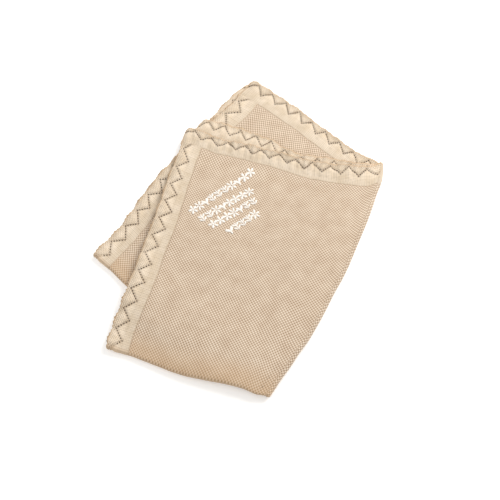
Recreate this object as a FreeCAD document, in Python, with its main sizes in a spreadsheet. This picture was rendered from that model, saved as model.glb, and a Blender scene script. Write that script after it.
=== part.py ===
import FreeCAD, Part
import os

# A knitted baby blanket, folded in half end over end and then side over side, lying flat.
# The side fold runs along +Y.  Both halves lie on its -X side: the lower half on the surface,
# the upper half on top of it, fanned round so that each half shows its own borders.
# The origin is the middle of the folded blanket's box, on the surface it lies on.
# Millimetres, +Z up.

doc = FreeCAD.newDocument("folded_blanket")


# ---------------------------------------------------------------- driving dimensions

def fill_sheet(name, rows):
    """A sheet with one named cell for each row of text."""
    sheet = doc.addObject("Spreadsheet::Sheet", name)
    for number, (alias, text) in enumerate(rows.items(), start=1):
        sheet.set(f"A{number}", alias)
        sheet.set(f"B{number}", text)
        sheet.setAlias(f"B{number}", alias)
    doc.recompute()
    return sheet


sizes = fill_sheet("sizes", {
    "blanket_width": "786",        # along the loose ends, as it lies: 30 inches, stretched a little
    "blanket_length": "1016",      # along the sides, 40 inches, halved by the end fold
    "cloth_thickness": "3",
    "layer_gap": "1.2",            # air between two layers that lie on each other
    "border_width": "45",
    "seam_width": "1.5",           # the linked seam between the border and the panel
    "fold_shift_low": "65",        # the side fold is off the middle by this at the end fold
    "fold_shift_high": "39.6",     # and by this, to the other side, at the loose ends
    "second_layer_skew": "3",      # degrees that this layer has slipped round under the top one
    "bottom_layer_skew": "1.2",    # degrees that this layer has slipped out under the third one
    "drape_clearance": "1.2",      # air between the lower half's end fold and the cloth over it
    "hinge_clearance": "0.3",      # air between the two halves of the side fold's bends
    "motif_radius": "7.5",
    "motif_height": "0.9",         # how far the thread stands up from the cloth
    "motif_pitch": "15.5",
    "motif_row_pitch": "24",
    "motif_row_angle": "48",       # degrees from the blanket's width
    "motif_start_across": "-256",  # the first motif's centre on the upper half
    "motif_start_along": "312",
})

# What follows from them.  A turn is a fold's bend, and a reach is how far a half goes from
# the side fold, measured along its end fold.
layout = fill_sheet("layout", {
    "half_length": "=sizes.blanket_length / 2",
    "storey": "=sizes.cloth_thickness + sizes.layer_gap",
    "middle_height": "=2 * sizes.cloth_thickness + 1.5 * sizes.layer_gap",
    "inner_turn_bore": "=sizes.layer_gap / 2",
    "inner_turn": "=inner_turn_bore + sizes.cloth_thickness",
    "outer_turn_bore": "=inner_turn + sizes.layer_gap",
    "outer_turn": "=outer_turn_bore + sizes.cloth_thickness",
    "fold_tilt": "=atan((sizes.fold_shift_low + sizes.fold_shift_high) / half_length) / 1 deg",
    "lower_reach": "=sizes.blanket_width / 2 + sizes.fold_shift_low",
    "upper_reach": "=sizes.blanket_width / 2 - sizes.fold_shift_low",
    "trim_width": "=sizes.border_width + sizes.seam_width",
    "second_riser": "=inner_turn + sizes.drape_clearance",
    "top_riser": "=second_riser + sizes.cloth_thickness + sizes.drape_clearance",
    "riser_end": "=top_riser + sizes.cloth_thickness",
    "centre_x": "=(outer_turn - lower_reach * cos(fold_tilt) - inner_turn * sin(fold_tilt)) / 2",
    "centre_y": "=((lower_reach - upper_reach) * sin(fold_tilt)"
                " + (half_length - inner_turn) * cos(fold_tilt)) / 2",
})

TILT = "layout.fold_tilt"
BEYOND = "sizes.blanket_length"    # past every edge of the folded blanket


# ---------------------------------------------------------------- building blocks

def bind(piece, **expressions):
    for name, text in expressions.items():
        piece.setExpression(name, text)


def place(piece, x, y, z, turn="0"):
    """Puts the piece at (x, y, z) of a frame that is turned about the side fold's lower end."""
    bind(piece, **{
        "Placement.Base.x": f"({x}) * cos({turn}) - ({y}) * sin({turn})",
        "Placement.Base.y": f"({x}) * sin({turn}) + ({y}) * cos({turn})",
        "Placement.Base.z": z,
    })


def block(name, x_span, y_span, z_span, turn="0"):
    """A box between two values on each axis of a turned frame."""
    box = doc.addObject("Part::Box", name)
    sides = [f"({high}) - ({low})" for low, high in (x_span, y_span, z_span)]
    bind(box, Length=sides[0], Width=sides[1], Height=sides[2])
    place(box, x_span[0], y_span[0], z_span[0], turn)
    bind(box, **{"Placement.Rotation.Angle": turn})
    return box


def combine(kind, name, shapes):
    whole = doc.addObject(kind, name)
    whole.Shapes = shapes
    return whole


def finish(piece):
    """Moves a finished piece from the side fold's frame to the blanket's own origin."""
    piece.Label = piece.Name
    bind(piece, **{
        "Placement.Base.x": "-layout.centre_x",
        "Placement.Base.y": "-layout.centre_y",
    })
    subparts.append(piece)


def half_pipe(name, bore, radius, length, facing):
    """Half a pipe from the frame's origin.  Facing turns its axis and its round side."""
    rods = []
    for suffix, size in (("outside", radius), ("bore", bore)):
        rod = doc.addObject("Part::Cylinder", f"{name}_{suffix}")
        rod.Angle = 180
        rod.Placement.Rotation = facing
        bind(rod, Radius=size, Height=length)
        rods.append(rod)
    pipe = doc.addObject("Part::Cut", f"{name}_pipe")
    pipe.Base, pipe.Tool = rods
    return pipe


subparts = []

# ---------------------------------------------------------------- the four layers
# Each layer is a slab cut to its panel, its side border, its end border and the seam
# between them.  All four parts of a layer meet face to face.

beside_fold = block("beside_fold", (f"-2 * {BEYOND}", "0"), (f"-{BEYOND}", f"2 * {BEYOND}"),
                    ("-1", "4 * layout.storey"))
TOTAL = ("-1", "4 * layout.storey")
above_end_fold = {
    half: block(f"{half}_above_end_fold", (f"-{BEYOND}", BEYOND), ("0", BEYOND), TOTAL, turn)
    for half, turn in (("lower", f"-{TILT}"), ("upper", TILT))
}


def flat_slab(name, storeys_up):
    """A layer of the lower half, flat all over."""
    low = f"{storeys_up} * layout.storey"
    return block(f"{name}_slab", (f"-{BEYOND}", BEYOND), (f"-{BEYOND}", BEYOND),
                 (low, f"{low} + sizes.cloth_thickness"), f"-{TILT}")


def stepped_slab(name, storeys_up, storeys_down, riser):
    """A layer of the upper half: flat on the lower half, down over its end fold, and flat
    again on the surface beyond it.  It steps along the lower half's end fold."""
    turn = f"-{TILT}"
    thick = "sizes.cloth_thickness"
    high, low = f"{storeys_up} * layout.storey", f"{storeys_down} * layout.storey"
    across = (f"-{BEYOND}", BEYOND)
    inner, outer = f"-{riser}", f"-({riser} + {thick})"
    return combine("Part::MultiFuse", f"{name}_slab", [
        block(f"{name}_high", across, (outer, BEYOND), (high, f"{high} + {thick}"), turn),
        block(f"{name}_riser", across, (outer, inner), (low, f"{high} + {thick}"), turn),
        block(f"{name}_low", across, (f"-{BEYOND}", inner), (low, f"{low} + {thick}"), turn),
    ])


def trim_regions(name, reach, turn):
    """The plan of a layer's panel, seam and two borders, as tall blocks."""
    side_edge, side_seam = f"-{reach}", f"-{reach} + sizes.border_width"
    side_inner = f"-{reach} + layout.trim_width"
    end_edge, end_seam = "layout.half_length", "layout.half_length - sizes.border_width"
    end_inner = "layout.half_length - layout.trim_width"
    start = f"-{BEYOND}"

    def region(part, x_span, y_span):
        return block(f"{name}_{part}_region", x_span, y_span, TOTAL, turn)

    seam = combine("Part::MultiFuse", f"{name}_seam_region", [
        region("side_seam", (side_seam, side_inner), (start, end_seam)),
        region("end_seam", (side_seam, BEYOND), (end_inner, end_seam)),
    ])
    return {
        "panel": region("panel", (side_inner, BEYOND), (start, end_inner)),
        "seam": seam,
        "side_border": region("side_border", (side_edge, side_seam), (start, end_seam)),
        "end_border": region("end_border", (side_edge, BEYOND), (end_seam, end_edge)),
    }


def cut_layer(name, slab, half, reach, turn):
    for part, region in trim_regions(name, reach, turn).items():
        finish(combine("Part::MultiCommon", f"{name}_{part}",
                       [slab, beside_fold, above_end_fold[half], region]))


cut_layer("bottom_layer", flat_slab("bottom_layer", 0), "lower", "layout.lower_reach",
          f"-{TILT} + sizes.bottom_layer_skew")
cut_layer("third_layer", flat_slab("third_layer", 1), "lower", "layout.lower_reach", f"-{TILT}")
cut_layer("second_layer", stepped_slab("second_layer", 2, 0, "layout.second_riser"), "upper",
          "layout.upper_reach", f"{TILT} - sizes.second_layer_skew")
cut_layer("top_layer", stepped_slab("top_layer", 3, 1, "layout.top_riser"), "upper",
          "layout.upper_reach", TILT)


# ---------------------------------------------------------------- the end fold
# The bend that joins the two layers of each half.  It bulges out below the panels, and the
# side border goes round it with the panel.  In the upper half it starts beyond the step.

ALONG_X_ROUND_TO_MINUS_Y = FreeCAD.Rotation(FreeCAD.Vector(1, 0, 1), 180)


def end_fold(half, reach, turn, inner_end):
    spans = {
        "border": (f"-{reach}", f"-{reach} + layout.trim_width"),
        "panel": (f"-{reach} + layout.trim_width", inner_end),
    }
    for part, (start, end) in spans.items():
        name = f"{half}_end_fold_{part}"
        pipe = half_pipe(name, "layout.inner_turn_bore", "layout.inner_turn",
                         f"({end}) - ({start})", ALONG_X_ROUND_TO_MINUS_Y)
        place(pipe, start, "0", "layout.inner_turn", turn)
        bind(pipe, **{"Placement.Rotation.Angle": turn})
        finish(combine("Part::MultiCommon", name, [pipe, beside_fold]))


end_fold("lower", "layout.lower_reach", f"-{TILT}", "0")
end_fold("upper", "layout.upper_reach", TILT, f"-layout.riser_end / sin(2 * {TILT})")


# ---------------------------------------------------------------- the side fold
# An inner bend joins the third and second layers, and an outer bend round it joins the
# bottom and top ones.  The halves open about the outer bend's outermost line, so each bend
# is parted at that height, and each part belongs to its own half.

ALONG_Y_ROUND_TO_PLUS_X = FreeCAD.Rotation(FreeCAD.Vector(1, 1, 1), 240)
ROUND_FOLD = (("0", "2 * layout.outer_turn"), (f"-{BEYOND}", f"2 * {BEYOND}"))
fold_halves = {
    "lower": block("lower_side_of_hinge", *ROUND_FOLD,
                   ("-1", "layout.middle_height - sizes.hinge_clearance / 2")),
    "upper": block("upper_side_of_hinge", *ROUND_FOLD,
                   ("layout.middle_height + sizes.hinge_clearance / 2", "4 * layout.storey")),
}


def side_fold(bend, bore, radius):
    trim_start = f"(layout.half_length - layout.trim_width) / cos({TILT})"
    spans = {
        "panel": ("0", trim_start),
        "border": (trim_start, f"layout.half_length / cos({TILT})"),
    }
    for part, (start, end) in spans.items():
        name = f"{bend}_side_fold_{part}"
        pipe = half_pipe(name, bore, radius, f"({end}) - ({start})", ALONG_Y_ROUND_TO_PLUS_X)
        place(pipe, "0", start, "layout.middle_height")
        for half, side in fold_halves.items():
            finish(combine("Part::MultiCommon", f"{half}_{name}", [pipe, side]))


side_fold("inner", "layout.inner_turn_bore", "layout.inner_turn")
side_fold("outer", "layout.outer_turn_bore", "layout.outer_turn")


# ---------------------------------------------------------------- the embroidery
# Four slanting rows of small motifs on the top layer, near its loose corner.  Each row is a
# group of separate raised motifs.  A row has so many motifs and starts so many pitches in.

MOTIF_ROWS = ((10, 0.0), (8, 0.5), (7, 1.1), (5, 2.4))


def motif_row(number, count, lead):
    along, across = "cos(sizes.motif_row_angle)", "sin(sizes.motif_row_angle)"
    drop = f"{number} * sizes.motif_row_pitch"
    motifs = []
    for index in range(count):
        step = f"{index + lead} * sizes.motif_pitch"
        motif = doc.addObject("Part::Prism", f"motif_{number + 1}_{index + 1}")
        motif.Polygon = 4
        bind(motif, Circumradius="sizes.motif_radius", Height="sizes.motif_height")
        place(motif, f"sizes.motif_start_across + {step} * {along} + {drop} * {across}",
              f"sizes.motif_start_along + {step} * {across} - {drop} * {along}",
              "3 * layout.storey + sizes.cloth_thickness", TILT)
        bind(motif, **{"Placement.Rotation.Angle": f"sizes.motif_row_angle + {TILT}"})
        motifs.append(motif)
    row = doc.addObject("Part::Compound", f"embroidery_row_{number + 1}")
    row.Links = motifs
    finish(row)


for row_number, (motif_count, row_lead) in enumerate(MOTIF_ROWS):
    motif_row(row_number, motif_count, row_lead)


# ---------------------------------------------------------------- checking and writing

doc.recompute()
for item in doc.Objects:
    if {"Invalid", "Error"} & set(item.State):
        raise RuntimeError(f"{item.Name} failed: {item.State}")
for piece in subparts:
    if piece.Shape.isNull() or not piece.Shape.isValid() or not piece.Shape.Solids:
        raise RuntimeError(f"{piece.Name} has no sound solid")

os.makedirs("parts", exist_ok=True)
for piece in subparts:
    piece.Shape.exportStep(f"parts/{piece.Label}.step")
    print(f"{piece.Label:32} {len(piece.Shape.Solids):2} solids {piece.Shape.Volume:12.1f} mm3")
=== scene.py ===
import math

import bmesh
import bpy
import numpy as np
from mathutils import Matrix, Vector


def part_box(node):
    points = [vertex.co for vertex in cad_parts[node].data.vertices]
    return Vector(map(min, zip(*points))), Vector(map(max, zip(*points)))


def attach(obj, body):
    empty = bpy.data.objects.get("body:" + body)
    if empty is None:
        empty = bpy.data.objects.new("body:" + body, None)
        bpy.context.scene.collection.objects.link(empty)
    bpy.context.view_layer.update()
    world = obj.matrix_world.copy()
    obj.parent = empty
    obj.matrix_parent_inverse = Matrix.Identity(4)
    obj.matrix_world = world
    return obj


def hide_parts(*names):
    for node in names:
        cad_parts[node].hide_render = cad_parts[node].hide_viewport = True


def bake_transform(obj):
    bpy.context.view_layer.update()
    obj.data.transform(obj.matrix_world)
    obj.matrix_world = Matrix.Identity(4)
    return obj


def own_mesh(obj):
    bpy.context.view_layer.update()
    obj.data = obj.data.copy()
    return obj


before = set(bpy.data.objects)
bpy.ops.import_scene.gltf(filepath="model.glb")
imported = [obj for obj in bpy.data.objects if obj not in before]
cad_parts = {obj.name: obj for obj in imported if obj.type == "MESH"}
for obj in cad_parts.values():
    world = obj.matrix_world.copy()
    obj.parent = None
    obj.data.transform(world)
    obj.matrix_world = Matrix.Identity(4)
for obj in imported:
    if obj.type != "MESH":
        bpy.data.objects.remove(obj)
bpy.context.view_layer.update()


# ---------------------------------------------------------------- the blanket as it lies
# A knitted cotton baby blanket, folded in half end over end and then side over side, so four
# layers lie on each other.  The side fold runs along +Y and both halves lie on its -X side,
# fanned round a little.  Lengths here are millimetres; the meshes are made in metres.

HALF_LENGTH = 508.0              # 40 inches, folded in half
REACH = {"lower": 458.0, "upper": 328.0}   # from the side fold to the side edge, at the end fold
TILT = math.atan((65.0 + 39.6) / HALF_LENGTH)
BORDER = 45.0                    # width of the knitted-on border
SEAM = 1.5
THICK = 3.0
STOREY = 4.2                     # one layer and the air under it
LAYERS = ("bottom", "third", "second", "top")
HALF = {"bottom": "lower", "third": "lower", "second": "upper", "top": "upper"}
SIGN = {"lower": 1.0, "upper": -1.0}
BODY = {"lower": "lower_half", "upper": "upper_half"}

FOLD_RADIUS = 7.8                # of the outer bend, half the folded thickness
FOLD_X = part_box("upper_outer_side_fold_panel")[1].x * 1000 - FOLD_RADIUS
FOLD_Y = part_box("lower_outer_side_fold_panel")[0].y * 1000

# How far the cloth lies from its ideal straight edges: along the side fold (x, y), along each
# side edge (outwards, along) and along the end fold and the loose ends.
FOLD_T = (0.0, .02, .07, .12, .18, .23, .28, .34, .39, .44, .49,
          .55, .6, .65, .71, .76, .82, .87, .93, .98, 1.0)
FOLD_BOW = (-19, -17.5, -14.3, -9, -5.4, 0, 2.1, 4.2, 4.7, 5.1, 7.3,
            7.8, 6.5, 5.2, 3.9, 2.5, -.6, -3.8, -5.3, -13, -18)
SIDE_T = (0.0, .07, .14, .2, .27, .33, .4, .6, .75, .8, .85, .92, .96, 1.0)
SIDE_OUT = {
    "bottom": (-7, -6, -4, -1, 5, 8, 12, 13, 15, 16, 18, 15, 11, 7),
    "third": (-7, -6, -5, -2, 3, 5, 9, 11, 8, 4, 1, 4, 0, 0),
    "second": (1, 3, 2, -2, -5, -6, -8, -12, -17, -19, -21, -23, -26, -30),
    "top": (1, 3.5, 2.5, .5, -1, -3, -1.5, -4, -3, -5, -6, -5, -6, -11),
}
SIDE_ALONG = {"bottom": (-1.5, -4.0), "third": (-1.5, 0.0),
              "second": (8.4, 13.4), "top": (8.4, -14.0)}
START_S = (0.0, .06, .13, .25, .36, .48, .6, .73, .82, .9, 1.0)
START_OUT = {"lower": (0, 1, 2, 4, 6, 7, 8, 8, 5, 2, 0),
             "upper": (0, 3, 0, 1, 4, 6, 5, 3, 2, 2, 0)}
END_S = (0.0, .04, .1, .18, .25, .33, .41, .51, .6, .7, .8, .9, 1.0)
END_OUT = {
    "bottom": (0, 0, -6, -9, -7, -6, -5, -4, -1, 0, 1, 0, 0),
    "third": (0, 2, -4, -7, -5, -3.5, -2.5, 0, 3, 3, 4, 3.5, 0),
    "second": (0, -7, -12, -15, -18, -23, -27, -21, -8, -3, 1, 3, 0),
    "top": (0, -16, -21, -25, -29.5, -31.5, -29, -23.5, -21, -17.5, -17, -10.5, 0),
}

# How far the end border draws the panel up, where it is gathered.
GATHER = {"bottom": 0.0, "third": 0.0, "second": 4.0, "top": 7.0}
TOOTH = {"side": 41.0, "end": 38.5}     # the length of one tooth of each border's zig-zag


def smooth(values, at, t):
    """A curve through the values at their places, with rounded corners."""
    fine = np.linspace(at[0], at[-1], 241)
    y = np.interp(fine, at, values)
    pad = np.concatenate([2 * y[0] - y[6:0:-1], y, 2 * y[-1] - y[-2:-8:-1]])
    return np.interp(t, fine, np.convolve(pad, np.hanning(15)[1:-1] / 7.0, "valid"))


def plan(layer, w, v):
    """Where a point of the cloth lies, seen from above: w is across from the side fold and v up
    from the end fold."""
    half = HALF[layer]
    g = SIGN[half]
    c, s = math.cos(TILT), math.sin(TILT)
    fold = g * v * math.tan(TILT)
    t = np.clip(v / HALF_LENGTH, 0, 1)
    a = np.clip((w - fold) / (REACH[half] - fold), 0, 1)
    # The loose corners are rounded.
    round_off = 3.5 * np.exp(-((REACH[half] - w) / 9) ** 2 - ((HALF_LENGTH - v) / 9) ** 2)
    w, v = w - round_off, v - round_off
    x = -w * c + g * v * s
    y = g * w * s + v * c
    out = a * smooth(SIDE_OUT[layer], SIDE_T, t)
    along = a * np.interp(t, (0, 1), SIDE_ALONG[layer])
    along = along - smooth(START_OUT[half], START_S, a) * (1 - t) ** 2
    along = along + smooth(END_OUT[layer], END_S, a) * t ** 2
    gathered = np.exp(-((HALF_LENGTH - BORDER - v) / 26) ** 2) * np.clip(a * 3 - .6, 0, 1)
    along = along + GATHER[layer] * gathered
    x = x - out * c + g * along * s + (1 - a) * smooth(FOLD_BOW, FOLD_T, t)
    y = y + g * out * s + along * c + (1 - a) * (13 * t - 6)
    return x + FOLD_X, y + FOLD_Y


# The heights are worked out on a grid seen from above: each layer rests on what lies under it,
# droops past its edge to the surface, stands up a little in soft waves, and rolls at its fold.
CELL = 2.5
GX = np.arange(-265.0, 265.0, CELL)
GY = np.arange(-365.0, 365.0, CELL)
XX, YY = np.meshgrid(GX, GY)


def outline(layer):
    half = HALF[layer]
    g, reach, n = SIGN[half], REACH[half], np.linspace(0, 1, 80)
    v = np.concatenate([n * HALF_LENGTH, np.full(80, HALF_LENGTH),
                        (1 - n) * HALF_LENGTH, np.zeros(80)])
    a = np.concatenate([np.zeros(80), n, np.ones(80), 1 - n])
    fold = g * v * math.tan(TILT)
    return plan(layer, fold + a * (reach - fold), v)


def covers(px, py):
    """The grid's points that lie inside an outline."""
    inside = np.zeros(XX.shape, bool)
    for i in range(len(px)):
        x0, y0, x1, y1 = px[i - 1], py[i - 1], px[i], py[i]
        if y0 != y1:
            inside ^= ((YY < y0) != (YY < y1)) & (XX < (x1 - x0) * (YY - y0) / (y1 - y0) + x0)
    return inside


def spread(h, n):
    """The greatest height within n cells; for a mask, all the cells within n cells of it."""
    for _ in range(n):
        m = h.copy()
        m[1:] = np.maximum(m[1:], h[:-1])
        m[:-1] = np.maximum(m[:-1], h[1:])
        m[:, 1:] = np.maximum(m[:, 1:], h[:, :-1])
        m[:, :-1] = np.maximum(m[:, :-1], h[:, 1:])
        h = m
    return h


def average(h):
    p = np.pad(h, 1, mode="edge")
    return (p[2:, 1:-1] + p[:-2, 1:-1] + p[1:-1, 2:] + p[1:-1, :-2]) / 4


def blurred(h, n):
    """A grid smoothed over about n cells."""
    fy, fx = np.fft.fftfreq(h.shape[0])[:, None], np.fft.fftfreq(h.shape[1])[None, :]
    low_pass = np.exp(-2 * (np.pi * n) ** 2 * (fx ** 2 + fy ** 2))
    return np.real(np.fft.ifft2(np.fft.fft2(h) * low_pass))


def noise_field(seed, size):
    """Soft random waves about size mm across, from -1 to 1."""
    h = blurred(np.random.default_rng(seed).standard_normal(XX.shape), size / CELL / 2.2)
    return h / np.abs(h).max()


def fold_line_x(y):
    t = np.clip((y - FOLD_Y) / (HALF_LENGTH / math.cos(TILT)), 0, 1)
    return FOLD_X + smooth(FOLD_BOW, FOLD_T, t)


from_fold = fold_line_x(YY) - XX          # distance from the side fold, over the cloth
calm = np.clip((from_fold - 8) / 45, 0, 1) ** 1.5
height = {}
support = np.zeros(XX.shape)


def edge_distance(layer, edge):
    """Distance in mm from each grid point to one edge of a layer: 'end', 'side' or 'start'."""
    half = HALF[layer]
    g, reach, n = SIGN[half], REACH[half], np.linspace(0, 1, 60)
    if edge == "side":
        px, py = plan(layer, np.full(60, reach), n * HALF_LENGTH)
    else:
        v = np.full(60, HALF_LENGTH if edge == "end" else 0.0)
        fold = g * v * math.tan(TILT)
        px, py = plan(layer, fold + n * (reach - fold), v)
    best = np.full(XX.shape, 1e9)
    for x, y in zip(px, py):
        best = np.minimum(best, (XX - x) ** 2 + (YY - y) ** 2)
    return np.sqrt(best)


RUFFLE = {"bottom": 0.0, "third": 4.5, "second": 4.5, "top": 6.5}
CURL = {"third": 8.0, "second": 2.0, "top": 1.0}   # how far the loose corners curl up
HIGHEST = 21.6                   # for the underside of the top layer
FLAT_BY_FOLD = 12                # the layers lie flat this near to the side fold
SETTLE_STEPS, SAG = 700, 0.006
ROLL_HEIGHT, ROLL_REACH = 3.4, 26   # of the roll at the end fold
for number, layer in enumerate(LAYERS):
    inside = covers(*outline(layer))
    rest = spread(support, 1)
    rest = np.where(from_fold < FLAT_BY_FOLD, number * STOREY, rest)
    lie = spread(inside, 5)
    h = rest.copy()
    for _ in range(SETTLE_STEPS):
        h = np.maximum(rest, average(np.where(lie, h, rest)) - SAG)
    if number:
        # The knitting is springy, so it rounds off the steps under it.
        h = np.maximum(h, blurred(spread(h, 6), 5))
        h = np.where(from_fold < FLAT_BY_FOLD, rest, h)
    if layer in ("third", "top"):
        roll = np.exp(-(edge_distance(layer, "start") / ROLL_REACH) ** 2)
        h = h + ROLL_HEIGHT * roll * calm
    if number:
        # The loose edges flute with the zig-zag's teeth, and in small waves between them.
        half = HALF[layer]
        g = SIGN[half]
        free = np.maximum(np.exp(-(edge_distance(layer, "end") / 24) ** 2),
                          0.7 * np.exp(-(edge_distance(layer, "side") / 20) ** 2))
        across = REACH[half] + (XX - FOLD_X) * math.cos(TILT) - g * (YY - FOLD_Y) * math.sin(TILT)
        down = HALF_LENGTH - g * (XX - FOLD_X) * math.sin(TILT) - (YY - FOLD_Y) * math.cos(TILT)
        wobble = 5 * noise_field(20 + number, 40)
        flute = (np.cos(2 * np.pi * (across + wobble) / TOOTH["end"])
                 + 1.2 * np.cos(2 * np.pi * (across + 2 * wobble) / 15 + number))
        flute_side = (np.cos(2 * np.pi * (down + wobble) / TOOTH["side"])
                      + 0.5 * np.cos(2 * np.pi * (down + wobble) / 17))
        waves = 0.5 + 0.25 * np.where(edge_distance(layer, "end") < 30, flute, 0.7 * flute_side) \
            + 0.5 * noise_field(40 + number, 17)
        broad = 0.5 + 0.5 * noise_field(60 + number, 60)
        h = h + calm * (RUFFLE[layer] * free * np.maximum(waves, 0) + 0.9 * broad)
        corner_x, corner_y = plan(layer, np.array([REACH[half]]), np.array([HALF_LENGTH]))
        h = h + CURL[layer] * np.exp(-((XX - corner_x[0]) ** 2 + (YY - corner_y[0]) ** 2) / 17 ** 2)
        h = np.minimum(h, HIGHEST - (len(LAYERS) - 1 - number) * STOREY)
    h = np.where(number == 0, 0.0, h)
    height[layer] = h
    support = np.where(inside, h + STOREY, support)


def at_grid(field, x, y):
    """A grid's value at points seen from above."""
    fx = np.clip((x - GX[0]) / CELL, 0, len(GX) - 1.001)
    fy = np.clip((y - GY[0]) / CELL, 0, len(GY) - 1.001)
    i, j = fx.astype(int), fy.astype(int)
    u, q = fx - i, fy - j
    return ((field[j, i] * (1 - u) + field[j, i + 1] * u) * (1 - q)
            + (field[j + 1, i] * (1 - u) + field[j + 1, i + 1] * u) * q)


def mid_height(layer, x, y):
    """The height of the middle of a layer's thickness above the surface it lies on."""
    return at_grid(height[layer], x, y) + THICK / 2


# Soft knitting is never quite square: the stitches wander by a millimetre or two.
wander = [calm * (1.5 * noise_field(81 + n, 24) + 2.2 * noise_field(91 + n, 70)) for n in (0, 1)]
border_wander = {layer: [calm * np.exp(-(edge_distance(layer, "end") / 32) ** 2) * 2.6
                         * noise_field(8 * k + n, 13) for n in (0, 1)]
                 for k, layer in enumerate(LAYERS)}


def place(layer, w, v, bend, off):
    """A point of the cloth in space, off mm above its middle.  Past the end fold, bend is how far
    round the fold it is, from 0 on the half's upper layer to pi on its lower one."""
    x, y = plan(layer, w, v)
    x, y = (p + at_grid(wander[n] + border_wander[layer][n], x, y) for n, p in enumerate((x, y)))
    z = mid_height(layer, x, y)
    if np.any(bend > 0):
        under = {"third": "bottom", "top": "second"}[layer]
        low = mid_height(under, x, y)
        r = (z - low) / 2
        turned = bend > 0
        g = SIGN[HALF[layer]]
        reach = np.where(turned, (r + off) * np.sin(bend), 0)
        x = x - g * reach * math.sin(TILT)
        y = y - reach * math.cos(TILT)
        z = np.where(turned, (z + low) / 2 + (r + off) * np.cos(bend), z + off)
    else:
        z = z + off
    # What lies on the surface is pressed flat there.
    return np.stack([x, y, np.maximum(z, 0)], -1) / 1000


# ---------------------------------------------------------------- knitting the pieces
# Each piece is a closed skin of rows of points, with the stitches raised on the side that
# shows.  Its UV map "cloth" gives the distance from the side edge and from the loose end.

def faces_between(starts, counts):
    """Quads and triangles between rows of points, where neighbouring rows differ by one at most."""
    quads, tris = [], []
    for a, b, n, m in zip(starts[:-1], starts[1:], counts[:-1], counts[1:]):
        k = np.arange(min(n, m) - 1)
        quads.append(np.stack([a + k, a + k + 1, b + k + 1, b + k], 1))
        if n > m:
            tris.append((a + m - 1, a + m, b + m - 1))
        elif m > n:
            tris.append((a + n - 1, b + n, b + n - 1))
    return np.concatenate(quads), np.array(tris, int).reshape(-1, 3)


def wall(fine, coarse, at):
    """Triangles that close the skin between a fine edge and a coarse one."""
    out = []
    for k in range(len(coarse) - 1):
        for i in range(at[k], at[k + 1]):
            out.append((coarse[k], fine[i], fine[i + 1]))
        out.append((coarse[k], fine[at[k + 1]], coarse[k + 1]))
    return out


def make_mesh(name, points, quads, tris, uv, values=()):
    """A new object from points in metres, with faces turned outwards."""
    sizes = np.concatenate([np.full(len(quads), 4), np.full(len(tris), 3)])
    loops = np.concatenate([quads.ravel(), tris.ravel()]).astype(np.int32)
    mesh = bpy.data.meshes.new(name)
    mesh.vertices.add(len(points))
    mesh.vertices.foreach_set("co", points.astype(np.float32).ravel())
    mesh.loops.add(len(loops))
    mesh.loops.foreach_set("vertex_index", loops)
    mesh.polygons.add(len(sizes))
    loop_starts = np.concatenate([[0], np.cumsum(sizes)[:-1]]).astype(np.int32)
    mesh.polygons.foreach_set("loop_start", loop_starts)
    layer = mesh.uv_layers.new(name="cloth")
    layer.data.foreach_set("uv", uv[loops].astype(np.float32).ravel())
    for label, value in dict(values).items():
        attribute = mesh.attributes.new(label, "FLOAT", "POINT")
        attribute.data.foreach_set("value", value.astype(np.float32))
    mesh.update(calc_edges=True)
    mesh.validate()
    shell = bmesh.new()
    shell.from_mesh(mesh)
    bmesh.ops.recalc_face_normals(shell, faces=shell.faces)
    for face in shell.faces:
        face.smooth = True
    shell.to_mesh(mesh)
    shell.free()
    piece = bpy.data.objects.new(name, mesh)
    bpy.context.scene.collection.objects.link(piece)
    return piece


EYELET = 1.7                     # across an eyelet, in mm
BEND_ARC = 4.0                   # mm of cloth for each radian of the end fold's bend


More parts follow.
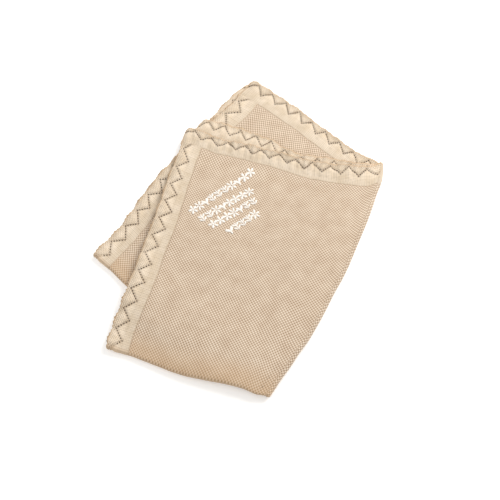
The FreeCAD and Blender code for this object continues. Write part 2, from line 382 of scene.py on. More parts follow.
def skin(name, layer, rows, up, relief, half_thick, stride=1, eyelets=None):
    """A closed piece of cloth.  rows are (v, bend, [w]); up is the side the stitches show on."""
    reach = REACH[HALF[layer]]
    counts = np.array([len(r[2]) for r in rows])
    starts = np.concatenate([[0], np.cumsum(counts)[:-1]])
    w = np.concatenate([r[2] for r in rows])
    v = np.concatenate([np.full(len(r[2]), r[0]) for r in rows])
    bend = np.concatenate([np.full(len(r[2]), r[1]) for r in rows])
    cloth = np.stack([reach - w, HALF_LENGTH - v + bend * BEND_ARC], -1)
    quads, tris = faces_between(starts, counts)
    holes = np.zeros(len(w))
    cut = []
    if eyelets is not None:
        flat = np.stack([reach - w, HALF_LENGTH - v], -1)
        centre = flat[quads].mean(1)
        for ex, ey in eyelets:
            d = (centre[:, 0] - ex) ** 2 + (centre[:, 1] - ey) ** 2
            k = int(np.argmin(d))
            ring = quads[k]
            if d[k] < 1.0 and holes[ring].sum() == 0:
                cut.append(k)
                holes[ring] = 1
                away = flat[ring] - centre[k]
                w[ring] = reach - (ex + np.sign(away[:, 0]) * EYELET / 2)
                v[ring] = HALF_LENGTH - (ey + np.sign(away[:, 1]) * EYELET / 2)
    raised = relief(cloth[:, 0], cloth[:, 1])
    thick = half_thick(cloth[:, 0], cloth[:, 1])
    fine = place(layer, w, v, bend, up * (thick + raised))
    if stride == 1:
        # The back has the same points as the front, so every eyelet goes through.
        other = place(layer, w, v, bend, -up * (thick + raised * 0.6))
        n = len(w)
        keep = np.ones(len(quads), bool)
        keep[cut] = False
        wall_quads = []
        for k in cut:
            ring = quads[k]
            for i in range(4):
                a, b = ring[i], ring[(i + 1) % 4]
                wall_quads.append((a, b, b + n, a + n))
        first = np.arange(starts[0], starts[0] + counts[0])
        last = np.arange(starts[-1], starts[-1] + counts[-1])
        for edge in (first, last, starts, starts + counts - 1):
            wall_quads += [(a, b, b + n, a + n) for a, b in zip(edge[:-1], edge[1:])]
        all_quads = np.concatenate([quads[keep], quads[keep][:, ::-1] + n,
                                    np.array(wall_quads, int)])
        all_tris = np.concatenate([tris, tris[:, ::-1] + n])
        values = {"raised": np.concatenate([raised, raised]),
                  "eyelet": np.concatenate([holes, holes])}
        return make_mesh(name, np.concatenate([fine, other]), all_quads, all_tris,
                         np.concatenate([cloth, cloth]) / 1000, values)
    # The back has only every few rows and columns, because it hardly shows.
    pick_rows = list(range(0, len(rows), stride))
    if pick_rows[-1] != len(rows) - 1:
        pick_rows.append(len(rows) - 1)
    picks, at_cols, c_counts = [], [], []
    for r in pick_rows:
        cols = list(range(0, counts[r], stride))
        if cols[-1] != counts[r] - 1:
            cols.append(counts[r] - 1)
        at_cols.append(cols)
        c_counts.append(len(cols))
        picks.append(starts[r] + np.array(cols))
    pick = np.concatenate(picks)
    c_counts = np.array(c_counts)
    n = len(w)
    c_starts = np.concatenate([[0], np.cumsum(c_counts)[:-1]])
    c_quads, c_tris = faces_between(c_starts, c_counts)
    other = place(layer, w[pick], v[pick], bend[pick], -up * thick[pick])
    walls = []
    for end in (0, -1):
        walls += wall(starts[end] + np.arange(counts[end]),
                      n + c_starts[end] + np.arange(c_counts[end]), at_cols[end])
    walls += wall(starts, n + c_starts, pick_rows)
    walls += wall(starts + counts - 1, n + c_starts + c_counts - 1, pick_rows)
    return make_mesh(name, np.concatenate([fine, other]),
                     np.concatenate([quads, c_quads[:, ::-1] + n]),
                     np.concatenate([tris, c_tris[:, ::-1] + n, np.array(walls, int)]),
                     np.concatenate([cloth, cloth[pick]]) / 1000)


def columns(layer, start, v, step):
    """The places of a row's stitches, from start to the side fold."""
    fold = SIGN[HALF[layer]] * v * math.tan(TILT)
    n = int((start - fold) / step - 0.4)
    return np.append(start - step * np.arange(n + 1), fold)


def rows_down(top, bottom, step):
    n = int((top - bottom) / step - 0.4)
    return np.append(top - step * np.arange(n + 1), bottom)


def bend_rows(layer, n=9):
    return list(np.linspace(0, math.pi, n + 1)[1:]) if layer in ("third", "top") else []


def linear(value):
    """An sRGB hex colour as Blender's linear one."""
    parts = [int(value[i:i + 2], 16) / 255 for i in (1, 3, 5)]
    return tuple(c / 12.92 if c <= 0.04045 else ((c + 0.055) / 1.055) ** 2.4
                 for c in parts) + (1.0,)


def node(tree, kind, settings=None, **links):
    """A new node with its settings, and its inputs set or linked: i0 is its first input, and
    other inputs go by name."""
    n = tree.nodes.new(kind)
    for key, value in (settings or {}).items():
        setattr(n, key, value)
    for key, value in links.items():
        numbered = key[0] == "i" and key[1:].isdigit()
        socket = n.inputs[int(key[1:]) if numbered else key.replace("_", " ")]
        if isinstance(value, bpy.types.NodeSocket):
            tree.links.new(value, socket)
        else:
            socket.default_value = value
    return n


def new_material(name):
    material = bpy.data.materials.new(name)
    material.use_nodes = True
    tree = material.node_tree
    tree.nodes.clear()
    return material, tree


# ---------------------------------------------------------------- the moss-stitch panels
# The field of the blanket is moss stitch in soft natural cotton: single knit and purl stitches
# in turn, so small bumps stand in a diagonal lattice on both faces.  The end fold's bend is
# part of the upper layer of each half.

MOSS = 6.4                       # two stitches, so the bumps are 4.5 mm apart on the diagonal
PANEL_CELL = MOSS / 4
TRIM = BORDER + SEAM


def moss_relief(u, q):
    return 0.52 * np.cos(2 * np.pi * (u - TRIM) / MOSS) * np.cos(2 * np.pi * (q - TRIM) / MOSS)


def even(u, q):
    return np.full(len(u), THICK / 2)


material_panel, tree = new_material("moss_stitch_cotton")
uv = node(tree, "ShaderNodeUVMap", {"uv_map": "cloth"}).outputs[0]
xy = node(tree, "ShaderNodeSeparateXYZ", i0=uv)
turn = 2 * math.pi / (MOSS / 1000)
waves = []
for out in (xy.outputs[0], xy.outputs[1]):
    moved = node(tree, "ShaderNodeMath", {"operation": "SUBTRACT"},
                 i0=out, i1=TRIM / 1000).outputs[0]
    scaled = node(tree, "ShaderNodeMath", {"operation": "MULTIPLY"}, i0=moved, i1=turn).outputs[0]
    waves.append(node(tree, "ShaderNodeMath", {"operation": "COSINE"}, i0=scaled).outputs[0])
bumps = node(tree, "ShaderNodeMath", {"operation": "MULTIPLY"},
             i0=waves[0], i1=waves[1]).outputs[0]
ramp = node(tree, "ShaderNodeMapRange", i0=bumps, i1=-0.75, i2=0.8, i3=0.0, i4=1.0).outputs[0]
mottle = node(tree, "ShaderNodeTexNoise", Vector=uv,
              Scale=38.0, Detail=3.0, Roughness=0.55).outputs[0]
yarn = node(tree, "ShaderNodeTexNoise", Vector=uv,
            Scale=900.0, Detail=2.0, Roughness=0.6).outputs[0]
worn = node(tree, "ShaderNodeMapRange", i0=mottle, i1=0.3, i2=0.7, i3=0.0, i4=1.0).outputs[0]
# Painted shade and light: the gaps between the moss bumps are darker for the shade in them, and the
# bumps' tops lighter for the light on them.
gap_painted_shade = node(tree, "ShaderNodeMix", {"data_type": "RGBA"}, i0=worn,
           i6=linear("#9F8367"), i7=linear("#AE9478")).outputs[2]
loop_colour = node(tree, "ShaderNodeMix", {"data_type": "RGBA"}, i0=worn,
                   i6=linear("#E6D2BB"), i7=linear("#F0DFCA")).outputs[2]
cotton = node(tree, "ShaderNodeMix", {"data_type": "RGBA"}, i0=ramp,
              i6=gap_painted_shade, i7=loop_colour).outputs[2]
fuzz = node(tree, "ShaderNodeMapRange", i0=yarn, i1=0.3, i2=0.7, i3=0.93, i4=1.05).outputs[0]
cotton = node(tree, "ShaderNodeVectorMath", {"operation": "SCALE"},
              i0=cotton, Scale=fuzz).outputs[0]
relief_height = node(tree, "ShaderNodeMath", {"operation": "MULTIPLY_ADD"},
                     i0=yarn, i1=0.25, i2=bumps).outputs[0]
# Painted shade: towards the end fold the cloth is tinted a warmer tan, for the shade round the
# bend.
bend_painted_shade = node(tree, "ShaderNodeMapRange", i0=xy.outputs[1],
                i1=0.46, i2=0.515, i3=0.0, i4=0.5).outputs[0]
cotton = node(tree, "ShaderNodeMix", {"data_type": "RGBA"}, i0=bend_painted_shade,
              i6=cotton, i7=linear("#BE986C")).outputs[2]
bump = node(tree, "ShaderNodeBump", Strength=0.55, Distance=0.0006,
            Height=relief_height).outputs[0]
shader = node(tree, "ShaderNodeBsdfPrincipled", Base_Color=cotton, Roughness=0.92, Normal=bump,
              Sheen_Weight=0.25, Sheen_Roughness=0.5, IOR=1.45).outputs[0]
node(tree, "ShaderNodeOutputMaterial", Surface=shader)

cloth = {}
for layer in LAYERS:
    half = HALF[layer]
    start = REACH[half] - TRIM
    rows = [(v, 0.0, columns(layer, start, v, PANEL_CELL))
            for v in rows_down(HALF_LENGTH - TRIM, 0, PANEL_CELL)]
    rows += [(0.0, b, columns(layer, start, 0.0, PANEL_CELL)) for b in bend_rows(layer)]
    up = 1.0 if layer in ("third", "top") else -1.0
    piece = skin(f"{layer}_panel_cloth", layer, rows, up, moss_relief, even, stride=4)
    piece.data.materials.append(material_panel)
    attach(piece, BODY[half])
    stands_for = [f"{layer}_layer_panel"]
    if layer in ("third", "top"):
        stands_for.append(f"{half}_end_fold_panel")
    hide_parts(*stands_for)
    cloth[layer, "panel"] = piece


# ---------------------------------------------------------------- the knitted borders
# The border is knitted on in smooth stockinette, with a zig-zag of yarn-over eyelets near its
# scalloped edge.  The end border runs to the corner, and the side border meets it there.

BORDER_CELL = 1.25
LACE = {"side": (TOOTH["side"], 9.5, 28.5),        # a tooth's length, and its tips' places
        "end": (TOOTH["end"], 6.5, 24.0)}
EYELET_GAP = 5.2


def tooth(along, where):
    """How far from the edge the zig-zag runs, at a place along it."""
    length, near, far = LACE[where]
    return near + (far - near) * np.abs(((along / length) % 1.0) * 2 - 1)


def lace(total, where):
    """The eyelets' places as (along, from edge)."""
    length, near, far = LACE[where]
    n = round(math.hypot(length / 2, far - near) / EYELET_GAP)
    places = np.arange(1, int(total / length * 2 * n)) * length / 2 / n
    return [(a, float(tooth(a, where))) for a in places if 3 < a < total - 3]


def border_relief(edge, along, where):
    """Moss stitch outside the zig-zag, puffed smooth stitches inside it and a firm rolled edge."""
    away = edge - tooth(along, where)
    puff = 1.5 * (1 - np.exp(-(away / 4.5) ** 2)) * np.exp(-((edge - 17) / 12) ** 2)
    rolled = 0.6 * np.exp(-((edge - 2.2) / 2.0) ** 2)
    band = 0.45 * np.clip((edge - LACE[where][2] - 1.5) / 3, 0, 1)
    lattice = np.cos(2 * np.pi * edge / 5.0) * np.cos(2 * np.pi * along / 5.0)
    moss = 1.3 * lattice * np.clip(-away / 2, 0, 1)
    ribs = 0.2 * np.cos(2 * np.pi * along / 5.0) * np.clip(away / 2, 0, 1)
    return puff + rolled + ribs + moss + band - 0.35


def rounded(edge):
    d = np.clip(edge / 2.0, 0, 1)
    return 0.45 + (THICK / 2 - 0.45) * np.sqrt(1 - (1 - d) ** 2)


def scallop(along, edge):
    """How far the edge's small scallops stand out."""
    small = 0.9 * np.sin(2 * np.pi * along / 8.2)
    large = 1.6 * np.sin(2 * np.pi * along / TOOTH["side"] + 1.2)
    return (small + large) * np.exp(-(edge / 9) ** 2)


material_border, tree = new_material("stockinette_cotton_with_eyelets")
uv = node(tree, "ShaderNodeUVMap", {"uv_map": "cloth"}).outputs[0]
xy = node(tree, "ShaderNodeSeparateXYZ", i0=uv)
# Knit stitches are about 2.4 mm across, drawn at 3.2 mm so that they show.
turn = 2 * math.pi / 0.0032
waves = []
for out in (xy.outputs[0], xy.outputs[1]):
    scaled = node(tree, "ShaderNodeMath", {"operation": "MULTIPLY"}, i0=out, i1=turn).outputs[0]
    waves.append(node(tree, "ShaderNodeMath", {"operation": "COSINE"}, i0=scaled).outputs[0])
stitch = node(tree, "ShaderNodeMath", {"operation": "ADD"}, i0=waves[0], i1=waves[1]).outputs[0]
mottle = node(tree, "ShaderNodeTexNoise", Vector=uv,
              Scale=45.0, Detail=3.0, Roughness=0.55).outputs[0]
yarn = node(tree, "ShaderNodeTexNoise", Vector=uv,
            Scale=900.0, Detail=2.0, Roughness=0.6).outputs[0]
worn = node(tree, "ShaderNodeMapRange", i0=mottle, i1=0.3, i2=0.7, i3=0.0, i4=1.0).outputs[0]
plain_knit = node(tree, "ShaderNodeMix", {"data_type": "RGBA"}, i0=worn,
                     i6=linear("#D7C3A8"), i7=linear("#E8D7C1")).outputs[2]
lines = node(tree, "ShaderNodeMapRange", i0=stitch, i1=-2.0, i2=1.0, i3=0.86, i4=1.02).outputs[0]
fuzz = node(tree, "ShaderNodeMapRange", i0=yarn, i1=0.3, i2=0.7, i3=0.95, i4=1.04).outputs[0]
raised = node(tree, "ShaderNodeAttribute", {"attribute_name": "raised"}).outputs[2]
# Painted shade and light: the colour is darker where the stitches lie low and lighter where they
# stand raised.
relief = node(tree, "ShaderNodeMapRange", i0=raised, i1=-1.0, i2=1.1, i3=0.78, i4=1.12).outputs[0]
# Painted shade: the hollows between the stitches are darkened to a warmer brown, where shade falls
# in them.
hollow_painted_shade = node(tree, "ShaderNodeMapRange", i0=raised, i1=-1.1, i2=0.1, i3=0.85, i4=0.0).outputs[0]
plain_knit = node(tree, "ShaderNodeMix", {"data_type": "RGBA"}, i0=hollow_painted_shade,
                     i6=plain_knit, i7=linear("#A17C55")).outputs[2]
lines = node(tree, "ShaderNodeMath", {"operation": "MULTIPLY"}, i0=lines, i1=relief).outputs[0]
shade = node(tree, "ShaderNodeMath", {"operation": "MULTIPLY"}, i0=lines, i1=fuzz).outputs[0]
knit = node(tree, "ShaderNodeVectorMath", {"operation": "SCALE"},
            i0=plain_knit, Scale=shade).outputs[0]
# Painted shade: the rolled edge, the loose end and the bend at the end fold are tinted a warmer
# tan, for the warm shade along the edges.
edge_painted_shade = node(tree, "ShaderNodeMapRange", i0=xy.outputs[0],
                i1=0.001, i2=0.0045, i3=0.6, i4=0.0).outputs[0]
end_painted_shade = node(tree, "ShaderNodeMapRange", i0=xy.outputs[1],
               i1=0.001, i2=0.0045, i3=0.65, i4=0.0).outputs[0]
bend_painted_shade = node(tree, "ShaderNodeMapRange", i0=xy.outputs[1],
                i1=0.503, i2=0.514, i3=0.0, i4=0.6).outputs[0]
rims_painted_shade = node(tree, "ShaderNodeMath", {"operation": "MAXIMUM"}, i0=edge_painted_shade, i1=end_painted_shade).outputs[0]
rims_painted_shade = node(tree, "ShaderNodeMath", {"operation": "MAXIMUM"}, i0=rims_painted_shade, i1=bend_painted_shade).outputs[0]
knit = node(tree, "ShaderNodeMix", {"data_type": "RGBA"}, i0=rims_painted_shade,
            i6=knit, i7=linear("#BE986C")).outputs[2]
# Painted shade: the eyelets' walls and rims are a dark brown, for the shade in the holes.
eyelet = node(tree, "ShaderNodeAttribute", {"attribute_name": "eyelet"}).outputs[2]
rim = node(tree, "ShaderNodeMapRange", i0=eyelet, i1=0.55, i2=0.9, i3=0.0, i4=1.0).outputs[0]
knit = node(tree, "ShaderNodeMix", {"data_type": "RGBA"}, i0=rim,
            i6=knit, i7=linear("#2E1A0C")).outputs[2]
relief_height = node(tree, "ShaderNodeMath", {"operation": "MULTIPLY_ADD"},
                     i0=yarn, i1=0.5, i2=stitch).outputs[0]
bump = node(tree, "ShaderNodeBump", Strength=0.45, Distance=0.0004,
            Height=relief_height).outputs[0]
shader = node(tree, "ShaderNodeBsdfPrincipled", Base_Color=knit, Roughness=0.9, Normal=bump,
              Sheen_Weight=0.25, Sheen_Roughness=0.5, IOR=1.45).outputs[0]
node(tree, "ShaderNodeOutputMaterial", Surface=shader)

for layer in LAYERS:
    half = HALF[layer]
    reach = REACH[half]
    across = reach - BORDER_CELL * np.arange(37)
    rows = [(v, 0.0, across.copy()) for v in rows_down(HALF_LENGTH - BORDER, 0, BORDER_CELL)]
    rows += [(0.0, b, across.copy()) for b in bend_rows(layer)]
    rows = [(v, b, w + scallop(HALF_LENGTH - v + BEND_ARC * b, reach - w)) for v, b, w in rows]
    eyelets = [(edge, along) for along, edge in lace(HALF_LENGTH - 2, "side")
               if along > BORDER + 3]
    up = 1.0 if layer in ("third", "top") else -1.0
    piece = skin(f"{layer}_side_border_cloth", layer, rows, up,
                 lambda u, q: border_relief(u, q, "side"), lambda u, q: rounded(u),
                 eyelets=eyelets)
    piece.data.materials.append(material_border)
    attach(piece, BODY[half])
    stands_for = [f"{layer}_layer_side_border"]
    if layer in ("third", "top"):
        stands_for.append(f"{half}_end_fold_border")
    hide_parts(*stands_for)
    cloth[layer, "side"] = piece

    rows = [(v, 0.0, columns(layer, reach, v, BORDER_CELL))
            for v in rows_down(HALF_LENGTH, HALF_LENGTH - BORDER, BORDER_CELL)]
    length = rows[0][2][0] - rows[0][2][-1]
    eyelets = lace(length - 4, "end")
    piece = skin(f"{layer}_end_border_cloth", layer, rows, up,
                 lambda u, q: border_relief(q, u, "end"), lambda u, q: rounded(np.minimum(u, q)),
                 eyelets=eyelets)
    piece.data.materials.append(material_border)
    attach(piece, BODY[half])
    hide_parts(f"{layer}_layer_end_border")
    cloth[layer, "end"] = piece


# ---------------------------------------------------------------- the linked seams
# Where the border is linked to the panel, one fine cord of yarn runs up the side and across
# under the end border, with a small bead at every stitch.

material_seam, tree = new_material("linked_cotton_yarn")
uv = node(tree, "ShaderNodeUVMap", {"uv_map": "cloth"}).outputs[0]
yarn = node(tree, "ShaderNodeTexNoise", Vector=uv, Scale=700.0, Detail=2.0).outputs[0]
colour = node(tree, "ShaderNodeMix", {"data_type": "RGBA"}, i0=yarn,
              i6=linear("#B79C7E"), i7=linear("#E6D3B9")).outputs[2]
bump = node(tree, "ShaderNodeBump", Strength=0.4, Distance=0.0003, Height=yarn).outputs[0]
shader = node(tree, "ShaderNodeBsdfPrincipled", Base_Color=colour, Roughness=0.9, Normal=bump,
              Sheen_Weight=0.2).outputs[0]
node(tree, "ShaderNodeOutputMaterial", Surface=shader)


CORD_SIDES = 8
CORD_HALF_WIDTH, CORD_PROUD = 0.72, 0.25


def cord(name, layer, w, v, bend, across_side):
    """A flat tube along a path on the cloth: across_side is the direction its width lies in."""
    n = len(w)
    ring = CORD_SIDES
    angle = np.linspace(0, 2 * np.pi, ring, endpoint=False)
    bead = 1 + 0.16 * np.cos(np.pi * np.arange(n))
    pts = []
    for i in range(ring):
        side = CORD_HALF_WIDTH * math.cos(angle[i])
        off = (THICK / 2 + CORD_PROUD) * math.sin(angle[i]) * bead
        pts.append(place(layer, w + across_side[:, 0] * side, v + across_side[:, 1] * side,
                         bend, off))
    pts = np.stack(pts, 1).reshape(-1, 3)
    k = np.arange(n - 1)[:, None] * ring
    i = np.arange(ring)[None, :]
    j = (i + 1) % ring
    quads = np.stack([k + i, k + j, k + ring + j, k + ring + i], -1).reshape(-1, 4)
    caps = np.array([[0, a, a + 1] for a in range(1, ring - 1)])
    tris = np.concatenate([caps, caps[:, ::-1] + (n - 1) * ring])
    flat = np.stack([np.repeat(w, ring), np.repeat(v, ring)], -1) / 1000
    return make_mesh(name, pts, quads, tris, flat)


for layer in LAYERS:
    half = HALF[layer]
    line_w, line_v = REACH[half] - BORDER - SEAM / 2, HALF_LENGTH - BORDER - SEAM / 2
    up_v = rows_down(line_v, 0, 1.6)[::-1]
    along_w = columns(layer, line_w, line_v, 1.6)[1:]
    bends = np.array(bend_rows(layer)[::-1])
    w = np.concatenate([np.full(len(bends) + len(up_v), line_w), along_w])
    v = np.concatenate([np.zeros(len(bends)), up_v, np.full(len(along_w), line_v)])
    bend = np.concatenate([bends, np.zeros(len(up_v) + len(along_w))])
    sides = np.zeros((len(w), 2))
    corner = len(bends) + len(up_v) - 1
    sides[:corner] = (-1, 0)
    sides[corner] = (-1, -1)
    sides[corner + 1:] = (0, -1)
    piece = cord(f"{layer}_seam_yarn", layer, w, v, bend, sides)
    piece.data.materials.append(material_seam)
    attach(piece, BODY[half])
    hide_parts(f"{layer}_layer_seam")
    cloth[layer, "seam"] = piece


# ---------------------------------------------------------------- the side fold
# The two halves are one cloth, which goes round at the side fold: the bottom layer comes up
# into the top one outside, and the third into the second inside.

ARC = 23                         # faces round the fold: odd, so that no point is half way up
FOLD_ARC = 7.0                   # mm of cloth for each radian of the side fold's bend
FAR_IN = 200                     # mm from the side edge, about where the side fold lies


def fold_points(lower, upper, v, off, bulge):
    """Points round the side fold from the lower half's layer to the upper half's, at each v."""
    x0, y0 = plan(lower, v * math.tan(TILT), v)
    x1, y1 = plan(upper, -v * math.tan(TILT), v)
    z0, z1 = mid_height(lower, x0, y0), mid_height(upper, x1, y1)
    r = (z1 - z0) / 2
    angle = np.linspace(0, np.pi, ARC + 1)[None, :]
    x = x0[:, None] * (1 - angle / np.pi) + x1[:, None] * angle / np.pi
    x = x + (r[:, None] * bulge + off) * np.sin(angle)
    y = y0[:, None] * (1 - angle / np.pi) + y1[:, None] * angle / np.pi
    z = (z0 + r)[:, None] - (r[:, None] + off) * np.cos(angle)
    return np.stack([x, y, z], -1)


def fold_strip(name, lower, upper, v, relief, bulge, corner=False):
    """A closed strip round the side fold, with rows at each v from the top down.  At the end
    fold's corner the outer strip turns in to meet the inner one."""
    skins = []
    angle = np.linspace(0, np.pi, ARC + 1)
    arc = angle * FOLD_ARC
    for side in (1.0, -1.0):
        rise = relief(arc[None, :] + FAR_IN, (HALF_LENGTH - v)[:, None])
        off = side * (THICK / 2 + (rise if side > 0 else 0 * rise))
        pts = fold_points(lower, upper, v, off, bulge)
        if corner:
            inner = fold_points("third", "second", v[-1:], -off[-1:], 1.0)[0]
            outer = pts[-1]
            r = (fold_points("third", "second", v[-1:], 0, 1.0)[0, 0, 2]
                 - fold_points(lower, upper, v[-1:], 0, 1.0)[0, 0, 2]) / 2
            extra = []
            for b in np.linspace(0, np.pi, 10)[1:]:
                ring = outer * (1 + math.cos(b)) / 2 + inner * (1 - math.cos(b)) / 2
                ring[:, 1] -= (r + side * THICK / 2) * math.sin(b)
                extra.append(ring)
            pts = np.concatenate([pts, np.array(extra)])
        skins.append(pts)
    rows, cols = skins[0].shape[:2]
    pts = np.concatenate([s.reshape(-1, 3) for s in skins]) / 1000
    pts[:, 2] = np.maximum(pts[:, 2], 0)
    starts = np.arange(rows) * cols
    quads, tris = faces_between(starts, np.full(rows, cols))
    n = rows * cols
    walls = []
    for edge in (np.arange(cols), np.arange(cols) + starts[-1], starts, starts + cols - 1):
        walls += [(a, b, b + n, a + n) for a, b in zip(edge[:-1], edge[1:])]
    turned_in = 2.0 * np.arange(1, rows - len(v) + 1)
    along = np.concatenate([HALF_LENGTH - v, HALF_LENGTH - v[-1] + turned_in])
    flat = np.stack([np.tile(arc + FAR_IN, rows), np.repeat(along, cols)], -1) / 1000
    all_quads = np.concatenate([quads, quads[:, ::-1] + n, np.array(walls, int)])
    return make_mesh(name, pts, all_quads, tris, np.concatenate([flat, flat]))


def plain(u, q):
    return 0 * (u + q)


fold_pieces = {}
for where, lower, upper in (("outer", "bottom", "top"), ("inner", "third", "second")):
    panel_v = rows_down(HALF_LENGTH - TRIM, 0, PANEL_CELL)
    border_v = rows_down(HALF_LENGTH, HALF_LENGTH - TRIM, BORDER_CELL)
    for part, v, relief, material, slot_name in (
            ("panel", panel_v, moss_relief if where == "outer" else plain,
             material_panel, "panel_knit"),
            ("border", border_v, plain, material_border, "border_knit")):
        piece = fold_strip(f"{where}_side_fold_{part}_cloth", lower, upper, v, relief, 1.0,
                           corner=(where == "outer" and part == "panel"))
        piece.data.materials.append(material)
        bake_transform(piece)
        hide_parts(f"lower_{where}_side_fold_{part}", f"upper_{where}_side_fold_{part}")
        fold_pieces[where, part] = piece


# ---------------------------------------------------------------- the embroidery
# Four slanting rows of small flowers, sprigs and hearts stand on the upper half, sewn in white
# rayon satin stitch.  Each petal is padded and a little domed, with its threads laid across it.

material_thread, tree = new_material("rayon_satin_stitch")
uv = node(tree, "ShaderNodeUVMap", {"uv_map": "cloth"}).outputs[0]
# The threads are 0.4 mm apart, drawn at 0.9 mm so that they show.
thread = node(tree, "ShaderNodeTexWave", {"wave_type": "BANDS", "bands_direction": "X"},
              Vector=uv, Scale=350.0, Distortion=0.4).outputs[1]
colour = node(tree, "ShaderNodeMix", {"data_type": "RGBA"}, i0=thread,
              i6=linear("#EDE4D8"), i7=linear("#FFFCF7")).outputs[2]
bump = node(tree, "ShaderNodeBump", Strength=0.4, Distance=0.0002, Height=thread).outputs[0]
shader = node(tree, "ShaderNodeBsdfPrincipled", Base_Color=colour, Roughness=0.42, Normal=bump,
              Sheen_Weight=0.15).outputs[0]
node(tree, "ShaderNodeOutputMaterial", Surface=shader)

PETAL_RINGS, PETAL_SIDES = 4, 16


def petal(cx, cy, angle, length, width):
    """One padded petal: its outline from a centre, as flat points and their height."""
    th = np.linspace(0, 2 * np.pi, PETAL_SIDES, endpoint=False)
    r = np.linspace(0, 1, PETAL_RINGS + 1)[1:]
    x = np.outer(r, np.cos(th)) * length / 2
    y = np.outer(r, np.sin(th) * (0.78 + 0.22 * np.cos(th))) * width / 2
    dome = 1.6 * np.sqrt(np.clip(1 - np.outer(r, np.ones(PETAL_SIDES)) ** 2 * 0.94, 0, 1))
    x, y = np.append(x.ravel(), 0), np.append(y.ravel(), 0)
    z = np.append(dome.ravel(), 1.6)
    c, s = math.cos(angle), math.sin(angle)
    return cx + x * c - y * s, cy + x * s + y * c, z, x / 1000


def motif(kind):
    """A motif's petals as (x, y, angle, length, width), about its middle, 17 mm high."""
    if kind == 0:      # a five-petalled flower
        return [(4.6 * math.sin(a), 4.6 * math.cos(a), math.pi / 2 - a, 7.4, 4.4)
                for a in np.arange(5) * 2 * math.pi / 5] + [(0, 0, 0, 3.2, 3.2)]
    if kind == 1:      # a sprig with paired leaves
        return [(0, 0, math.pi / 2, 16, 2.6),
                (-3.4, 3.2, 2.35, 7.2, 3.6), (3.4, 3.2, .79, 7.2, 3.6),
                (-3.4, -3, 2.35, 7.2, 3.6), (3.4, -3, .79, 7.2, 3.6)]
    if kind == 2:      # a heart of two leaves
        return [(-2.7, .6, 2.25, 11, 5.4), (2.7, .6, .9, 11, 5.4),
                (0, -5.2, math.pi / 2, 5.0, 3.4)]
    return [(5 * math.sin(a), 5 * math.cos(a), math.pi / 2 - a, 8.4, 3.6)      # a star of leaves
            for a in np.arange(6) * math.pi / 3 + math.pi / 6]


MOTIF_LINES = (((-263, 316), (-163, 447), 10), ((-240, 304), (-155, 404), 8),
               ((-217, 297), (-140, 383), 7), ((-182, 293), (-131, 354), 5))
MOTIF_SCALE = 1.24
KINDS = (0, 2, 1, 3, 0, 1, 2, 0, 3, 1)
for number, (begin, finish_at, count) in enumerate(MOTIF_LINES):
    slope = math.atan2(finish_at[1] - begin[1], finish_at[0] - begin[0])
    run_x, run_y = math.cos(slope), math.sin(slope)
    points, quads, tris, flat = [], [], [], []
    base = 0
    for k in range(count):
        f = (k + 0.5) / count
        mx = begin[0] + (finish_at[0] - begin[0]) * f
        my = begin[1] + (finish_at[1] - begin[1]) * f
        for px, py, angle, length, width in motif(KINDS[(k * 3 + number * 2) % 10]):
            px, py = px * MOTIF_SCALE, py * MOTIF_SCALE
            x, y, z, u = petal(mx + px * run_x - py * run_y, my + px * run_y + py * run_x,
                               angle + slope, length * MOTIF_SCALE, width * MOTIF_SCALE * 1.15)
            n = len(x)
            top = place("top", -x, y, np.zeros(n), THICK / 2 + 0.15 + z)
            rim = slice((PETAL_RINGS - 1) * PETAL_SIDES, PETAL_RINGS * PETAL_SIDES)
            under = place("top", -x[rim], y[rim], np.zeros(PETAL_SIDES), THICK / 2 - 0.5)
            points += [top, under]
            flat += [np.stack([u, y / 1000], -1), np.stack([u[rim], y[rim] / 1000], -1)]
            i = np.arange(PETAL_SIDES)
            j = (i + 1) % PETAL_SIDES
            for r in range(PETAL_RINGS - 1):
                a, b = r * PETAL_SIDES, (r + 1) * PETAL_SIDES
                quads.append(np.stack([a + i, b + i, b + j, a + j], 1) + base)
            last = (PETAL_RINGS - 1) * PETAL_SIDES
            quads.append(np.stack([last + i, n + i, n + j, last + j], 1) + base)
            tris.append(np.stack([np.full(PETAL_SIDES, n - 1), i, j], 1) + base)
            back = [[n, n + a + 1, n + a] for a in range(1, PETAL_SIDES - 1)]
            tris.append(np.array(back) + base)
            base += n + PETAL_SIDES
    piece = make_mesh(f"embroidered_row_{number + 1}", np.concatenate(points),
                      np.concatenate(quads), np.concatenate(tris), np.concatenate(flat))
    piece.data.materials.append(material_thread)
    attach(piece, "upper_half")
    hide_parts(f"embroidery_row_{number + 1}")
    cloth["embroidery", number] = piece


# Each piece of the upper half gets a mesh of its own.
for (name, part), piece in cloth.items():
    if name in ("second", "top", "embroidery"):
        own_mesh(piece)
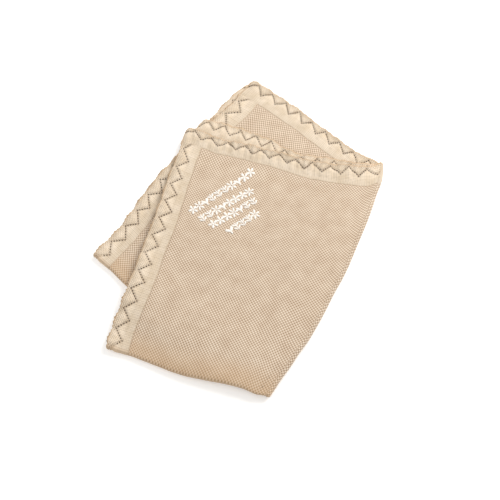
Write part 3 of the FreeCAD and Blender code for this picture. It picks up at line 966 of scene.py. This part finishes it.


# ---------------------------------------------------------------- each layer's pieces
# For each layer, the panel under it and the seam, embroidery and fold pieces that go with it are
# listed; nothing more is done with the lists.

under = {"bottom": [], "third": ["bottom_panel_cloth"], "second": ["third_panel_cloth"],
         "top": ["second_panel_cloth"]}
for layer in LAYERS:
    half = HALF[layer]
    g, reach = SIGN[half], REACH[half]
    extra = [cloth[layer, "seam"]]
    if layer == "top":
        extra += [cloth["embroidery", n] for n in range(4)]
    if layer == "third":
        extra += [fold_pieces["inner", "panel"], fold_pieces["inner", "border"]]


# ---------------------------------------------------------------- the studio
# A plain pale floor under soft light from above.

material_floor, tree = new_material("matt_white_floor")
shader = node(tree, "ShaderNodeBsdfPrincipled", Base_Color=linear("#FBFAF8"), Roughness=0.9,
              Emission_Color=(1.0, 1.0, 1.0, 1.0), Emission_Strength=0.22).outputs[0]
node(tree, "ShaderNodeOutputMaterial", Surface=shader)
bpy.ops.object.select_all(action="DESELECT")
bpy.ops.mesh.primitive_plane_add(size=60.0, location=(0, 0, -0.0006))
floor = bpy.context.active_object
floor.name = "floor"
floor.data.materials.append(material_floor)

world = bpy.data.worlds.new("soft_white")
world.use_nodes = True
world.node_tree.nodes["Background"].inputs[0].default_value = (1.0, 0.995, 0.985, 1.0)
world.node_tree.nodes["Background"].inputs[1].default_value = 0.52
bpy.context.scene.world = world
bpy.context.scene.view_settings.view_transform = "Standard"

for name, place_at, size, power, tint in (
        ("key", (0.62, 1.75, 1.55), 1.3, 48.8, (1.0, 0.99, 0.975)),
        ("fill", (-1.0, -0.5, 1.9), 1.6, 13.0, (0.98, 0.99, 1.0))):
    light = bpy.data.lights.new(name, "AREA")
    light.size, light.energy, light.color = size, power, tint
    lamp = bpy.data.objects.new(name, light)
    bpy.context.scene.collection.objects.link(lamp)
    lamp.location = place_at
    towards = -lamp.location.normalized()
    lamp.rotation_euler = towards.to_track_quat("-Z", "Y").to_euler()

camera = bpy.data.objects.new("camera", bpy.data.cameras.new("camera"))
bpy.context.scene.collection.objects.link(camera)
azimuth, elevation, distance = math.radians(26.8), math.radians(68.7), 1.273
target = (0.0470, -0.0261, 0.0)
back = (math.sin(azimuth) * math.cos(elevation), -math.cos(azimuth) * math.cos(elevation),
        math.sin(elevation))
camera.location = [t + distance * b for t, b in zip(target, back)]
camera.data.lens = 46.1
camera.data.sensor_width = 36.0
camera.rotation_euler = (-Vector(back)).to_track_quat("-Z", "Y").to_euler()
bpy.context.scene.camera = camera
